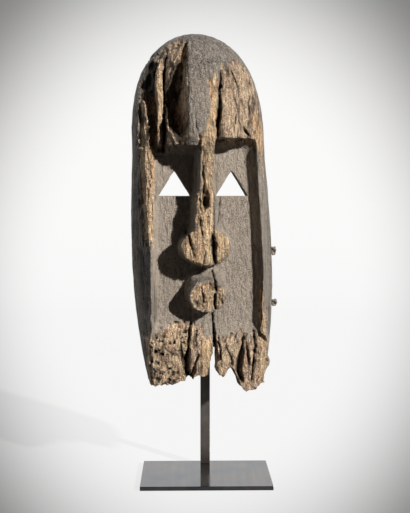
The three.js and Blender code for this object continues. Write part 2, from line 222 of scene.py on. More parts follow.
low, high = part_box("stand_plate")
bpy.ops.object.select_all(action="DESELECT")
bpy.ops.mesh.primitive_cube_add(size=1, location=(low + high) / 2)
plate = bpy.context.active_object
plate.name = "foot_plate"
plate.scale = high - low
bpy.ops.object.transform_apply(location=True, rotation=False, scale=True)
bpy.ops.object.mode_set(mode="EDIT")
bpy.ops.mesh.select_all(action="SELECT")
bpy.ops.mesh.bevel(offset=PLATE_EDGE, segments=2, affect="EDGES")
bpy.ops.object.mode_set(mode="OBJECT")
bpy.ops.object.shade_flat()


def noise(tree, coordinates, scale, detail=3.0, roughness=0.55, stretch=(1, 1, 1)):
    """Cloudy grey values, finer or drawn out along an axis by stretch."""
    sized = node(tree, "ShaderNodeMapping")
    sized.inputs["Scale"].default_value = stretch
    tree.links.new(coordinates, sized.inputs["Vector"])
    made = node(tree, "ShaderNodeTexNoise")
    made.inputs["Scale"].default_value = scale
    made.inputs["Detail"].default_value = detail
    made.inputs["Roughness"].default_value = roughness
    tree.links.new(sized.outputs[0], made.inputs["Vector"])
    return made.outputs["Fac"]


def blend(tree, share, first, second):
    """Mixes two colours, each a plain colour or another node's output."""
    made = node(tree, "ShaderNodeMix", data_type="RGBA")
    tree.links.new(share, made.inputs[0])
    for socket, given in ((made.inputs[6], first), (made.inputs[7], second)):
        if isinstance(given, tuple):
            socket.default_value = (*given, 1.0)
        else:
            tree.links.new(given, socket)
    return made.outputs[2]


def bump(tree, height, strength, distance, coarser=None):
    """Fine relief; its strength is a number or another node's output, and it may lie over a coarser one."""
    made = node(tree, "ShaderNodeBump")
    if isinstance(strength, bpy.types.NodeSocket):
        tree.links.new(strength, made.inputs["Strength"])
    else:
        made.inputs["Strength"].default_value = strength
    made.inputs["Distance"].default_value = distance
    tree.links.new(height, made.inputs["Height"])
    if coarser is not None:
        tree.links.new(coarser, made.inputs["Normal"])
    return made.outputs["Normal"]


def new_material(name):
    made = bpy.data.materials.new(name)
    made.use_nodes = True
    tree = made.node_tree
    shader = tree.nodes["Principled BSDF"]
    return made, tree, shader, node(tree, "ShaderNodeTexCoord").outputs["Object"]


def patina(name, dark, warm, metallic, roughness, streak, foot):
    """Dark patinated steel under wax: cloudy tone, faint streaks, darker up to the height of foot."""
    made, tree, shader, place = new_material(name)
    clouds = between(tree, noise(tree, place, 22.0), 0.35, 0.65)
    lines = between(tree, noise(tree, place, 160.0, 2.0, 0.5, streak), 0.3, 0.7)
    tone = blend(tree, clouds, dark, warm)
    tone = blend(tree, between(tree, lines, 0, 1, 0.0, 0.35), tone, tuple(0.6 * c for c in dark))
    rise = node(tree, "ShaderNodeSeparateXYZ")
    tree.links.new(place, rise.inputs[0])
    low_down = between(tree, rise.outputs["Z"], 0.2 * foot, foot, 0.8, 0.0)
    tone = blend(tree, low_down, tone, (0.045, 0.036, 0.034))
    tree.links.new(tone, shader.inputs["Base Color"])
    tree.links.new(between(tree, clouds, 0, 1, roughness - 0.04, roughness + 0.1), shader.inputs["Roughness"])
    shader.inputs["Metallic"].default_value = metallic
    shader.inputs["Coat Weight"].default_value = 0.25
    shader.inputs["Coat Roughness"].default_value = roughness
    tree.links.new(bump(tree, lines, 0.05, 0.05 * MM), shader.inputs["Normal"])
    return made


plate.data.materials.append(patina(
    "plate_patina", dark=(0.1, 0.112, 0.135), warm=(0.2, 0.185, 0.172), metallic=0.9, roughness=0.08,
    streak=(1, 0.05, 1), foot=1 * MM))
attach(plate, "root")
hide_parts("stand_plate")

# Post
# Square steel bar, fixed upright on the plate, bent forward at its top so that its arm carries the mask
# under the roof of the hollow. Made from one square drawn up and forward, its bend bevelled round.

BEND_RADIUS = 9 * MM
BAR_EDGE = 0.4 * MM

low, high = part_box("stand_post")
bar = high.x - low.x
bpy.ops.object.select_all(action="DESELECT")
foot = ((low.x + high.x) / 2, high.y - bar / 2, low.z)
bpy.ops.mesh.primitive_plane_add(size=bar, location=foot)
post = bpy.context.active_object
post.name = "square_post"
bpy.ops.object.transform_apply(location=True, rotation=False, scale=False)
bpy.ops.object.mode_set(mode="EDIT")
bpy.ops.mesh.select_all(action="SELECT")
bpy.ops.mesh.extrude_region_move(TRANSFORM_OT_translate={"value": (0, 0, high.z - low.z - bar)})
bpy.ops.mesh.extrude_region_move(TRANSFORM_OT_translate={"value": (0, 0, bar)})
pick(post, "FACE", lambda face: face.normal.y < -0.9 and face.calc_center_median().z > high.z - bar)
bpy.ops.mesh.extrude_region_move(TRANSFORM_OT_translate={"value": (0, low.y - high.y + bar, 0)})
back_top = (high.y - bar / 4, high.z - bar / 4)
pick(post, "EDGE", lambda edge: all(v.co.y > back_top[0] and v.co.z > back_top[1] for v in edge.verts))
bpy.ops.mesh.bevel(offset=BEND_RADIUS, segments=8, affect="EDGES")
bpy.ops.mesh.select_all(action="SELECT")
bpy.ops.mesh.normals_make_consistent(inside=False)
bpy.ops.object.mode_set(mode="OBJECT")
softened = post.modifiers.new("softened edges", "BEVEL")
softened.width = BAR_EDGE
softened.segments = 2
softened.limit_method = "ANGLE"
softened.angle_limit = math.radians(40)
bpy.ops.object.modifier_apply(modifier=softened.name)
bpy.ops.object.shade_smooth_by_angle(angle=math.radians(20))
post.data.materials.append(patina(
    "post_patina", dark=(0.17, 0.15, 0.138), warm=(0.32, 0.288, 0.262), metallic=0.75, roughness=0.3,
    streak=(1, 1, 0.04), foot=60 * MM))
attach(post, "root")
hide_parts("stand_post")

# Mask
# One piece: half a log of hard wood, hollowed behind, its sunk face cut between two rims.
# Its skin is weathered grey; where rain and insects have taken it, raw ochre fibre stands in clefts.
# Made from the carved solid by remeshing it finely and pushing its surface in, as wear has done.

MASK_SHIFT = np.array((-8.5, 54.0, 0.0))
MASK_TURN = math.radians(4.5)
LEAN = 0.0335
LEAN_PIVOT = 235
NET = 1.2 * MM
MOST_TRIANGLES = 196000
FACE_DEPTH = 103
HOLLOW_DEPTH = 88
CHIN_TOP = 210
ROOF_SPRING = 450
FURROW_DEPTH = 1.1
TOP_STEP_DEPTH = 1.6
WEIGHT_LEVELS = 20
LEFT_RIM_FOOT = 290
LEFT_RIM_TOP = 412
EYE = {"width": 36.6, "height": 29.4, "sill": 351.8, "places": (-37.6, 30.2), "front": 118, "back": 60}
turn = np.array((
    (math.cos(MASK_TURN), math.sin(MASK_TURN), 0.0),
    (-math.sin(MASK_TURN), math.cos(MASK_TURN), 0.0),
    (0.0, 0.0, 1.0),
))


def read_places(mesh):
    """Vertex places in the mask's own frame, in millimetres: x right, y back to the open side, z up."""
    flat = np.empty(len(mesh.vertices) * 3)
    mesh.vertices.foreach_get("co", flat)
    return (flat.reshape(-1, 3) / MM - MASK_SHIFT) @ turn.T


def write_places(mesh, places):
    flat = (places @ turn + MASK_SHIFT) * MM
    mesh.vertices.foreach_set("co", flat.ravel())
    mesh.update()


def read_normals(mesh):
    flat = np.empty(len(mesh.vertices) * 3)
    mesh.vertex_normals.foreach_get("vector", flat)
    return flat.reshape(-1, 3) @ turn.T


def corner_values(cells, seed):
    """One repeatable random number from -1 to 1 for each whole-numbered cell."""
    mixed = (cells[..., 0] * 73856093) ^ (cells[..., 1] * 19349663) ^ (cells[..., 2] * 83492791)
    mixed = (mixed + seed * 2654435761) & 0xFFFFFFFF
    for _ in range(2):
        mixed = ((mixed ^ (mixed >> 16)) * 0x45D9F3B) & 0xFFFFFFFF
    return (mixed ^ (mixed >> 16)) / 0x7FFFFFFF - 1.0


def cloud(places, size, seed):
    """Smooth random values from -1 to 1; size is the width of a patch along each axis."""
    scaled = places / np.array(size, dtype=float)
    cells = np.floor(scaled).astype(np.int64)
    part = scaled - cells
    part = part * part * (3.0 - 2.0 * part)
    total = np.zeros(len(places))
    for corner in np.ndindex(2, 2, 2):
        share = np.prod(np.where(corner, part, 1.0 - part), axis=1)
        total += share * corner_values(cells + np.array(corner), seed)
    return total


def clefts(places, size, seed, sharp=2.0):
    """Narrow clefts between fibres: 1 at the bottom of a cleft, near 0 on the fibres between."""
    wander = cloud(places, (18, 18, 40), seed) * size[0] * 0.8
    moved = places + np.column_stack((wander, wander, 0 * wander))
    return (1.0 - np.abs(cloud(moved, size, seed + 1))) ** sharp


def pits(places, size, share, seed):
    """Round holes of a boring insect: depth from 0 to 1, in a share of all cells of that size."""
    scaled = places / size
    cells = np.floor(scaled).astype(np.int64)
    deepest = np.zeros(len(places))
    for step in np.ndindex(3, 3, 3):
        near = cells + np.array(step) - 1
        centre = near + 0.5 + 0.4 * np.column_stack([corner_values(near, seed + k) for k in range(3)])
        radius = np.where(corner_values(near, seed + 3) < 2 * share - 1, 0.42, 1e-6)
        radius = radius * (0.8 + 0.35 * corner_values(near, seed + 4))
        away = np.linalg.norm(scaled - centre, axis=1) / radius
        deepest = np.maximum(deepest, np.sqrt(np.clip(1.0 - away ** 2, 0, 1)))
    return deepest


def smooth_step(value, low, high):
    share = np.clip((value - low) / (high - low), 0.0, 1.0)
    return share * share * (3.0 - 2.0 * share)


def groove(across, height, stations, power=2.0, ends=4.0):
    """A groove along the grain, 1 on its middle line; each station is a height, a middle and a half width."""
    z, middle, half = np.array(sorted(stations)).T
    offset = np.abs(across - np.interp(height, z, middle)) / np.interp(height, z, half)
    top = smooth_step(z[-1] - height, -ends, ends)
    bottom = smooth_step(height - z[0], -ends, ends)
    return np.clip(1.0 - offset ** power, 0.0, 1.0) * top * bottom


def inside(across, height, outline, soft):
    """1 within an outline seen from the front, falling to 0 over soft millimetres about its edge."""
    nearest = np.full(len(across), 1e9)
    crossings = np.zeros(len(across), dtype=int)
    for (ax, az), (bx, bz) in zip(outline, outline[1:] + outline[:1]):
        length = (bx - ax) ** 2 + (bz - az) ** 2
        along = np.clip(((across - ax) * (bx - ax) + (height - az) * (bz - az)) / length, 0, 1)
        gap = np.hypot(across - ax - along * (bx - ax), height - az - along * (bz - az))
        nearest = np.minimum(nearest, gap)
        if az != bz:
            meets = (az > height) != (bz > height)
            crossings += meets & (across < ax + (height - az) * (bx - ax) / (bz - az))
    return smooth_step(np.where(crossings % 2 == 1, nearest, -nearest), -soft, soft)


def lump(across, height, x, z, wide, tall):
    """A low round swelling or dent, 1 in its middle."""
    return np.exp(-((across - x) / wide) ** 2 - ((height - z) / tall) ** 2)


def remesh(piece, size, rounds):
    """An even net of squares over the piece, its corners eased by rounds of smoothing."""
    made = piece.modifiers.new("net", "REMESH")
    made.mode = "VOXEL"
    made.voxel_size = size
    bpy.ops.object.modifier_apply(modifier=made.name)
    made = piece.modifiers.new("eased", "SMOOTH")
    made.factor = 0.5
    made.iterations = rounds
    bpy.ops.object.modifier_apply(modifier=made.name)


LEFT, RIGHT, FRONT, DOWN = (-1, 0, 0), (1, 0, 0), (0, -1, 0), (0, 0, -1)


def facing(normals, way, low, high):
    """1 where the surface faces a way, 0 where it faces elsewhere."""
    return smooth_step(normals @ np.array(way), low, high)


def in_front(places, depth, soft):
    """0 behind a depth, and 1 from soft millimetres in front of it."""
    return smooth_step(-places[:, 1], depth, depth + soft)


def above(height, level, soft):
    """0 below a level, and 1 from soft millimetres above it."""
    return smooth_step(height, level, level + soft)


def below(height, level, soft):
    """1 below a level, and 0 from soft millimetres above it."""
    return smooth_step(-height, -(level + soft), -level)


def within(across, middle, half, soft):
    """1 near a middle, falling to 0 over the last soft millimetres of its half width."""
    return smooth_step(-np.abs(across - middle), -half, soft - half)


def at_height(height, stations):
    """A value that changes along the grain; each station is a height and the value there."""
    heights, values = zip(*stations)
    return np.interp(height, heights, values)


def upright(across, height):
    """How far a place lies from the leaning middle line of the mask."""
    return across - (LEAN_PIVOT - height) * LEAN


# Where the skin is lost, seen from the front: depth of the clefts, how ochre, and an outline in x and z
LOST_SKIN = {
    "forehead_left": (2.0, 0.4, [
        (-24, 535), (-24.5, 412), (-50, 408), (-80, 410), (-80, 462), (-77, 478), (-67, 506), (-56, 522),
        (-34, 535)]),
    "ochre_band": (1.4, 1.0, [
        (-3, 488), (3, 480), (6, 492), (10, 494), (10, 418), (-7, 414), (-3, 436), (1, 455)]),
    "forehead_right": (1.5, 0.3, [
        (12, 494), (15, 505), (22, 498), (30, 512), (42, 509), (52, 500), (62, 470), (70, 440), (72, 408),
        (9, 412)]),
    "left_rim": (2.6, 0.7, [
        (-80, 418), (-60, 418), (-59, 395), (-61, 340), (-62, 296), (-75, 294), (-79, 340)]),
    "chin_left": (1.0, 0.45, [
        (-74, 188), (-62, 187), (-52, 195), (-35, 200), (-18, 201), (-16, 182), (-22, 158), (-22, 110),
        (-74, 110)]),
    "chin_middle": (2.6, 0.2, [(-18, 203), (-4, 199), (-6, 180), (-8, 110), (-23, 110), (-22, 150)]),
    "chin_block": (1.5, 1.0, [(-7, 186), (5, 186), (7, 170), (7, 110), (-9, 110), (-8, 160)]),
    "chin_right": (1.9, 0.3, [
        (7, 182), (14, 186), (24, 187), (40, 188), (52, 185), (60, 190), (74, 180), (74, 108), (7, 108)]),
    "brow_right_end": (1.5, 1.0, [(53, 446), (60, 453), (69, 442), (73, 415), (62, 409), (53, 418)]),
    "right_rim": (2.0, 0.7, [(60, 240), (66, 240), (74, 208), (74, 120), (60, 120), (61, 200)]),
    "right_rim_top": (2.0, 1.0, [(58, 420), (72, 425), (75, 385), (73, 372), (68, 392), (60, 406)]),
    "nose_ridge": (2.4, 0.7, [
        (-14, 420), (5, 420), (5, 375), (5, 352), (5, 340), (6, 305), (-17, 305), (-17, 352), (-11, 356),
        (-8, 372)]),
    "nose_tip": (2.2, 0.8, [
        (-34, 293), (-29, 307), (-12, 314), (5, 313), (6, 292), (6, 269), (-14, 268), (-29, 277)]),
    "nose_tip_right": (0.6, 0.9, [(6, 312), (18, 307), (26, 296), (26, 283), (18, 275), (7, 269), (7, 292)]),
    "mouth": (2.2, 0.65, [
        (-23, 235), (-18, 247), (-4, 252), (8, 250), (19, 243), (20, 234), (14, 222), (0, 216), (-13, 218),
        (-21, 226)]),
}
# Zones on the proud nose and mouth, and how far forward they begin, so that the face behind is spared
PROUD_ZONES = {"nose_ridge": 121, "nose_tip": 134, "nose_tip_right": 131, "mouth": 127}

# The sunk face with its flanks, where the skin is lighter
SUNK_FACE = [(-68.5, 420), (56, 420), (64, 180), (-60.5, 180)]

# Long losses of wood in the forehead, along the grain: height, middle and half width at each station
DEEP_CLEFT = [
    (533, -24, 1), (522, -26.5, 3.2), (512, -30, 5.2), (500, -35, 8), (490, -38, 9.5), (483, -40.5, 9.5),
    (468, -42, 9), (450, -42, 9), (440, -40, 8), (430, -36.5, 6.5), (420, -34.5, 6), (412, -34, 5.5)]
CRACK_LIP = [(514, -48, 6), (495, -50.5, 9), (470, -51, 9), (448, -51.5, 7), (436, -52.5, 5), (410, -53, 5)]
BRIGHT_FLANK = [(535, -30, 3), (520, -38, 6), (505, -43, 7), (490, -45, 4)]
SIDE_HOLLOW = [
    (511, -62, 3), (505, -67, 8.5), (495, -72.3, 12.3), (480, -74, 12), (473, -73.8, 11.5), (467, -68, 6.5),
    (460, -66.5, 5), (452, -65, 4.5), (438, -64, 4), (412, -64, 3.5)]
UPPER_HOLLOW = [(510, -61.5, 3), (504, -65, 6.3), (495, -68.3, 7.8), (485, -70.3, 8), (478, -70, 6.5)]
RIM_STRIP = [(478, -74.5, 2.5), (466, -74, 4.5), (450, -74, 5.5), (420, -74, 6.5)]
CREST = [(508, -53.5, 3.5), (480, -56, 5.8), (450, -56, 5), (412, -56, 5)]
SKIN_DEPTH = 1.5
LEFT_FOREHEAD_DEPTH = 6
DEEP_CLEFT_DEPTH = 9
CRACK_LIP_DEPTH = 8
BRIGHT_FLANK_DEPTH = 3.5
OCHRE_BAND_DEPTH = 1.3
UPPER_HOLLOW_DEPTH = 9

# The side hollow is cut back to a floor, which slopes back beyond the left side's front corner
SIDE_HOLLOW_FLOOR = -96
SIDE_HOLLOW_SLOPE = 1.1
SIDE_HOLLOW_DEEPEST = 22
SIDE_CORNER = -67
SIDE_KEPT_BEHIND = 70

# The brow's left half: its underside is worn round, and its front edge is turned under
BROW_FOOT = 412
BROW_EDGE = 417.5
BROW_ROUNDING = 5
BROW_ROUNDING_MORE = 2.5
TURNED_UNDER = 8
TURNED_UNDER_SLOPE = 0.75
WIDEST = 100
COLUMN = 3
COLUMNS = 2 * WIDEST // COLUMN + 1

# The split through nose and mouth: its middle at each height, and how far its walls close in there
LONG_SPLIT = [(205, 8), (235, 7.5), (262, 7), (296, 6), (316, 4)]
LONG_SPLIT_CLOSED = [
    (203, 0), (208, 0.8), (226, 1.3), (246, 1.3), (262, 0.4), (266, 0.9), (296, 1.2), (303, 2.6), (324, 2.6)]

# The right rim's inner wall: height, place on the solid, and how far it is moved to the right
RIM_WALL = [
    (192, 65.5, -3.2), (228, 64.2, -0.3), (263, 61.5, 2.4), (299, 59.5, 2.9), (334, 58, 2.9), (370, 57, 2.4),
    (406, 56, 2.0)]

# The round nose is widened from its middle, less on the right, and the mouth's lower half set back
NOSE_MIDDLE = (-3.6, 291)
NOSE_REACH = 38
NOSE_TOP = 308
NOSE_WIDENED = 0.12
NOSE_WIDENED_RIGHT = 0.02
MOUTH_MIDDLE = 240
MOUTH_FOOT = 206
MOUTH_HALF_WIDTH = 32
MOUTH_SET_BACK = 0.2
RIDGE_WORN_BACK = 4.5

# The left rim: its front corner comes forward towards the foot, and wear has cut it to a slope
RIM_CORNER = -111
RIM_FORWARD = 10
RIM_TOP = 400
RIM_MIDDLE = -67.5
RIM_WEAR = 1.5
RIM_WEAR_SLOPE = 0.15
STRIP_FRONT = -103
STRIP_MIDDLE = -78
STRIP_SLOPE = 0.35

# The broken foot: splinters stand up into it, except at two long strips, and its right edge tapers
MASK_FOOT = 117
SPLINTER_RISE = 5.0
LONG_STRIPS = [(-21.5, 7), (48, 6)]
FOOT_TAPER = 7
FOOT_TAPER_TOP = 165

# Splits: depth, then height, middle and half width at each station
SPLITS = [
    (16, [(514, -47, 0.8), (495, -49.5, 1.8), (462, -50.2, 1.6), (430, -50.6, 1.9), (404, -51, 2)]),
    (14, [(494, 13.5, 0.8), (473, 12.4, 1.3), (450, 11.6, 1.9), (433, 10, 1.6), (404, 8.8, 1.3)]),
    (3, [(499, 27.5, 0.7), (488, 30, 1.2), (478, 34, 0.8)]),
    (2.5, [(470, 50, 0.7), (458, 47, 1.1), (448, 49, 0.7)]),
    (3, [(446, 31, 0.6), (436, 29, 1.0), (428, 31, 0.6)]),
    (4, [(437, -16.5, 0.8), (431, -15.5, 1.4), (426, -14, 0.8)]),
    (7, [(430, 41, 1.4), (425, 44, 2.6), (421, 48, 1.6)]),
    (9, [(392, -7.2, 0.6), (380, -6.8, 0.8), (365, -6.2, 0.9), (352, -5.8, 1.3), (347, -5.4, 2.5),
         (340, -5, 2.5), (335, -4.5, 1.0)]),
    (5, [(352, -10.5, 0.8), (343, -11, 1.3), (334, -10, 0.8)]),
    (6, [(326, -10.5, 0.7), (316, -9, 1.1), (305, -7.5, 0.9)]),
    (2, [(352, 17, 0.6), (335, 15.8, 0.7), (318, 13.4, 0.6)]),
    (14, [(305, 5.2, 0.7), (298, 5.5, 1.4), (280, 6.5, 1.3), (268, 7, 0.9)]),
    (4, [(307, 3.2, 1.0), (298, 3.2, 2.4), (284, 4.2, 2.2), (273, 5, 1.2)]),
    (7, [(310, -24.5, 1.0), (300, -23, 1.9), (290, -20, 1.5), (283, -18, 0.8)]),
    (4, [(288, -4, 0.8), (280, -6, 1.2), (273, -7, 0.8)]),
    (16, [(262, 7.2, 0.9), (250, 7.8, 1.1), (234, 7.6, 1.4), (220, 8.4, 1.1), (205, 8.0, 1.1),
          (190, 8.6, 1.6), (170, 8.8, 2.0)]),
    (5, [(246, -8, 0.8), (236, -7, 1.2), (226, -6, 0.8)]),
    (14, [(202, -18.5, 1.0), (190, -20, 1.8), (180, -21.5, 1.6), (162, -25, 2.4), (148, -25, 2.4),
          (128, -22, 2.0)]),
    (14, [(164, -11, 1.0), (150, -16, 2.0), (138, -20, 2.6), (124, -21, 2.0)]),
    (4, [(196, -12, 0.7), (182, -13, 1.2), (170, -13, 0.8)]),
    (4, [(182, -31, 0.8), (172, -31.5, 2.2), (160, -30, 2.4), (150, -28, 1.0)]),
    (7, [(184, 13.5, 0.7), (172, 15, 1.2), (158, 15.5, 0.9)]),
    (5, [(182, 22, 0.7), (172, 22.5, 1.0), (160, 28, 1.2), (150, 29, 0.8)]),
    (9, [(186, 44, 0.8), (178, 42.5, 1.6), (170, 41, 2.8), (158, 37.8, 4.6), (145, 36.8, 4.6),
         (132, 41, 2.2)]),
    (5, [(180, 46.5, 0.8), (172, 47, 1.4), (160, 49, 2.4), (150, 48.5, 1.2)]),
    (7, [(192, 56, 0.9), (184, 56.5, 1.6), (172, 57, 1.4), (150, 54.5, 1.4), (132, 52.5, 1.6)]),
]


def in_zone(across, height, name, soft):
    return inside(across, height, LOST_SKIN[name][2], soft)


# A copy of the carved solid, its faces joined and covered with an even net
bpy.ops.object.select_all(action="DESELECT")
carved = bpy.data.objects["mask"].copy()
carved.data = bpy.data.objects["mask"].data.copy()
carved.name = "weathered_mask"
for mark in [name for name in carved.keys() if name.startswith("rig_")]:
    del carved[mark]
scene.collection.objects.link(carved)
carved.select_set(True)
bpy.context.view_layer.objects.active = carved
bpy.ops.object.mode_set(mode="EDIT")
bpy.ops.mesh.select_all(action="SELECT")
bpy.ops.mesh.remove_doubles(threshold=0.01 * MM)
bpy.ops.object.mode_set(mode="OBJECT")
remesh(carved, NET, 2)

# Ragged places for the edges of all broad losses, which stay in front of the hollow
places = read_places(carved.data)
normals = read_normals(carved.data)
ragged = 0.9 * cloud(places, (3, 30, 10), 3) + 0.6 * cloud(places, (2, 20, 3.5), 4)
x, z = places[:, 0] + ragged, places[:, 2] + 2 * ragged
own_x = upright(x, z)
skin = in_front(places, HOLLOW_DEPTH - 2, 4)

# How deep wood is gone from the forehead and the chin
forehead = in_zone(x, z, "forehead_left", 3)
depth = DEEP_CLEFT_DEPTH * groove(x, z, DEEP_CLEFT, 4) * above(z, BROW_FOOT, 12)
depth += LEFT_FOREHEAD_DEPTH * forehead * smooth_step(-x, 44, 54) + SKIN_DEPTH * forehead
depth += CRACK_LIP_DEPTH * groove(x, z, CRACK_LIP, 1.0)
depth += BRIGHT_FLANK_DEPTH * groove(x, z, BRIGHT_FLANK, 1.2)
depth += OCHRE_BAND_DEPTH * in_zone(x, z, "ochre_band", 1.2)
depth += in_zone(x, z, "forehead_right", 1.5) * (0.8 + 0.7 * cloud(places, (9, 40, 14), 6))
chin = in_zone(x, z, "chin_left", 2.5)
depth += chin * (1.4 + 2.4 * cloud(places, (9, 40, 9), 5) + 1.6 * cloud(places, (4.2, 40, 4.8), 7))
depth += in_zone(x, z, "chin_right", 2.5) * (1.0 + 1.8 * cloud(places, (6, 40, 22), 8))

# The brow's left half, measured back from its front edge in each column
underside = facing(normals, DOWN, 0.5, 0.8) * (z > 403) * (z < 422) * within(x, -33, 27, 3)
column = np.clip((places[:, 0] + WIDEST) / COLUMN, 0, COLUMNS - 1).astype(int)
brow_edge = np.zeros(COLUMNS)
np.minimum.at(brow_edge, column[underside > 0.5], places[underside > 0.5, 1])
drop = BROW_ROUNDING + BROW_ROUNDING_MORE * smooth_step(x, -38, -26)
places[:, 2] -= drop * underside * smooth_step(places[:, 1] - brow_edge[column], 0.0, 4.5)
turned_under = brow_edge[column] + TURNED_UNDER_SLOPE * np.clip(BROW_EDGE - places[:, 2], 0, TURNED_UNDER)
under_brow = (z > 400) * (z < 419) * within(x, -36, 25, 3) * skin
places[:, 1] += np.clip(turned_under - places[:, 1], 0, TURNED_UNDER) * under_brow

# The split through nose and mouth, and the right rim's inner wall
closed = at_height(z, LONG_SPLIT_CLOSED)
beside = x - at_height(z, LONG_SPLIT)
closed *= (z > 203) * (z < 322) * in_front(places, 97, 4)
places[:, 0] -= np.sign(beside) * closed * np.exp(-(beside / 6) ** 2)
heights, wall_places, shifts = np.array(RIM_WALL).T
gone = np.interp(places[:, 2], heights, shifts)
from_wall = places[:, 0] - np.interp(places[:, 2], heights, wall_places)
near_wall = smooth_step(from_wall, -12, -5) * smooth_step(-from_wall, -11, -5)
places[:, 0] += gone * near_wall * in_front(places, 93, 5) * above(places[:, 2], 185, 7)

# The round nose, the mouth's lower half and the worn edge of the nose ridge
across, up = places[:, 0] - NOSE_MIDDLE[0], places[:, 2] - NOSE_MIDDLE[1]
bulb = in_front(places, 101, 5) * below(places[:, 2], NOSE_TOP, 8)
bulb *= within(np.hypot(across, up), 0, NOSE_REACH, 10)
places[:, 2] += NOSE_WIDENED * up * bulb
places[:, 0] += np.where(across < 0, NOSE_WIDENED, NOSE_WIDENED_RIGHT) * across * bulb
cone = below(places[:, 2], MOUTH_MIDDLE - 22, 22) * above(places[:, 2], MOUTH_FOOT, 5)
cone *= np.abs(places[:, 0]) < MOUTH_HALF_WIDTH
places[:, 1] += MOUTH_SET_BACK * np.clip(-FACE_DEPTH - places[:, 1], 0, 35) * cone
places[:, 1] += RIDGE_WORN_BACK * lump(x, z, -13, 354, 5, 9) * in_front(places, 106, 6)
places[:, 1] += depth * skin

# The hollows on the left of the forehead
beyond = np.clip(SIDE_CORNER - x, 0, 13)
hollowed = np.clip(SIDE_HOLLOW_FLOOR + SIDE_HOLLOW_SLOPE * beyond - places[:, 1], 0, SIDE_HOLLOW_DEEPEST)
side_wall = in_front(places, SIDE_KEPT_BEHIND, 4)
open_side = np.where(beyond > 0, side_wall, skin)
places[:, 1] += hollowed * np.clip(1.6 * groove(x, z, SIDE_HOLLOW, 6), 0, 1) * open_side
side_wall = in_front(places, SIDE_KEPT_BEHIND, 4)
places[:, 1] += UPPER_HOLLOW_DEPTH * groove(x, z, UPPER_HOLLOW, 4) * side_wall

# The left rim and the strip above it, cut back to a worn slope
corner = RIM_CORNER - RIM_FORWARD * np.clip((RIM_TOP - z) / (RIM_TOP - MASK_FOOT), 0, 1)
worn_rim = corner + RIM_WEAR - RIM_WEAR_SLOPE * (own_x - RIM_MIDDLE) + 1.2 * cloud(places, (4, 30, 16), 9)
worn_rim -= 3.0 * lump(x, z, -69.5, 301, 4, 5)
on_rim = above(z, LEFT_RIM_FOOT, 8) * below(z, LEFT_RIM_TOP, 8)
on_rim = on_rim * (own_x < -52) * skin
places[:, 1] += np.clip(worn_rim - places[:, 1], 0, None) * on_rim
worn_strip = STRIP_FRONT - STRIP_SLOPE * (x - STRIP_MIDDLE) + 1.5 * cloud(places, (4, 30, 12), 10)
on_strip = groove(x, z, RIM_STRIP, 8) * skin
places[:, 1] += np.clip(worn_strip - places[:, 1], 0, None) * on_strip

# Splinters of the broken foot, the wander of all bare wood across the grain, and the tapered right edge
under = facing(normals, DOWN, 0.3, 0.8) * (places[:, 2] < 195)
splinters = clefts(places, (5, 5, 40), 11) + 0.6 * cloud(places, (2.5, 2.5, 30), 12)
kept = np.max([np.exp(-((x - middle) / half) ** 2) for middle, half in LONG_STRIPS], axis=0)
places[:, 2] += SPLINTER_RISE * np.clip(splinters, 0, 1.4) * under * (1 - kept)
lost = np.max([in_zone(x, z, name, 3) for name in LOST_SKIN], axis=0)
warp = 1.3 * cloud(places, (9, 60, 7), 13) + 0.7 * cloud(places, (5, 40, 3.2), 14)
places[:, 0] += warp * lost * skin * within(own_x, 0, 70, 8)
taper = FOOT_TAPER * below(z, MASK_FOOT, FOOT_TAPER_TOP - MASK_FOOT)
places[:, 0] -= taper * smooth_step(own_x, 55, 72)
write_places(carved.data, places)

# An even net over the worn shape, without the crumbs that came loose
remesh(carved, NET, 1)
bpy.ops.object.mode_set(mode="EDIT")
bpy.ops.mesh.select_all(action="SELECT")
bpy.ops.mesh.separate(type="LOOSE")
bpy.ops.object.mode_set(mode="OBJECT")
pieces = sorted(bpy.context.selected_objects, key=lambda piece: len(piece.data.vertices))
for crumb in pieces[:-1]:
    bpy.data.objects.remove(crumb)
carved = pieces[-1]
carved.name = "weathered_mask"
bpy.context.view_layer.objects.active = carved

# The eyes, cut once more with three-sided wedges so that their edges stay crisp
for eye_x in EYE["places"]:
    bpy.ops.object.select_all(action="DESELECT")
    radius = 2 / 3 * EYE["height"] * MM
    middle = np.array((eye_x, -(EYE["front"] + EYE["back"]) / 2, EYE["sill"] + EYE["height"] / 3))
    bpy.ops.mesh.primitive_cylinder_add(
        vertices=3, radius=radius, depth=(EYE["front"] - EYE["back"]) * MM,
        location=(middle @ turn + MASK_SHIFT) * MM, rotation=(math.radians(90), 0, MASK_TURN))
    wedge = bpy.context.active_object
    wedge.scale.x = EYE["width"] * MM / (radius * math.sqrt(3))
    bpy.ops.object.transform_apply(location=False, rotation=False, scale=True)
    cut = carved.modifiers.new("eye", "BOOLEAN")
    cut.solver = "MANIFOLD"
    cut.object = wedge
    bpy.context.view_layer.objects.active = carved
    bpy.ops.object.modifier_apply(modifier=cut.name)
    bpy.data.objects.remove(wedge)
bpy.ops.object.select_all(action="DESELECT")
carved.select_set(True)

